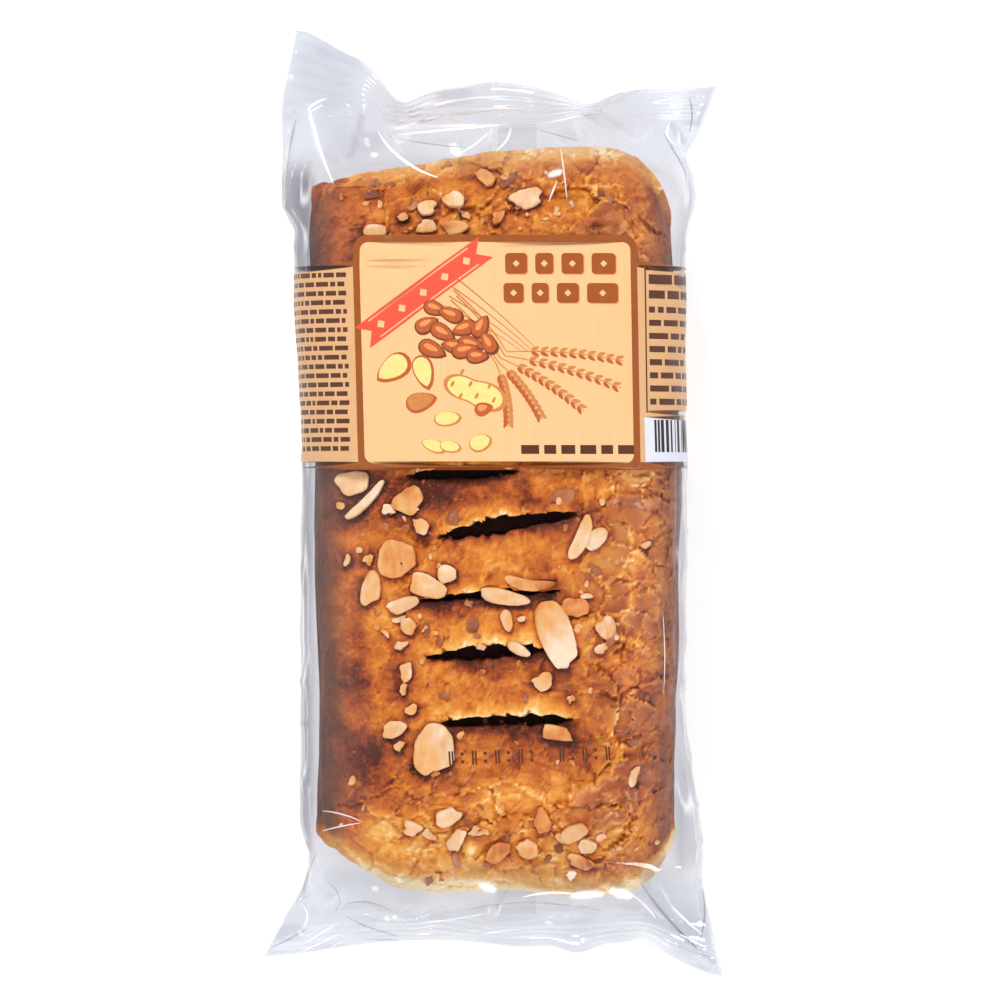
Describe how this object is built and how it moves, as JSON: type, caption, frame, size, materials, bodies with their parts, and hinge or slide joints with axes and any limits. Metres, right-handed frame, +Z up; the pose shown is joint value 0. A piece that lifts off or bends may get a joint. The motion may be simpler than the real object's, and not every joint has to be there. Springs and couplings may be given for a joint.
{
  "type": "wrapped bear claw pastry",
  "caption": "Almond-topped rectangular bear claw pastry with cut slits, sealed in a clear flow-wrap pack with a printed band and crimped end seals.",
  "frame": {"origin": "centre of the bounding box, on the surface that the pack lies on", "axes": "+Z up out of the printed side, +Y along the pack towards the end with the raised seal corner, +X across the pack to the right of the print"},
  "size_m": [0.1022, 0.2084, 0.0356],
  "materials": {
    "clear_film": "clear glossy film over golden brown pastry",
    "printed_band": "opaque ink in cream, brown and red on the film",
    "pastry": "glazed baked laminated dough",
    "almond": "toasted sliced almond"
  },
  "bodies": {
    "root": {"pack": "clear_film"}
  },
  "joints": []
}
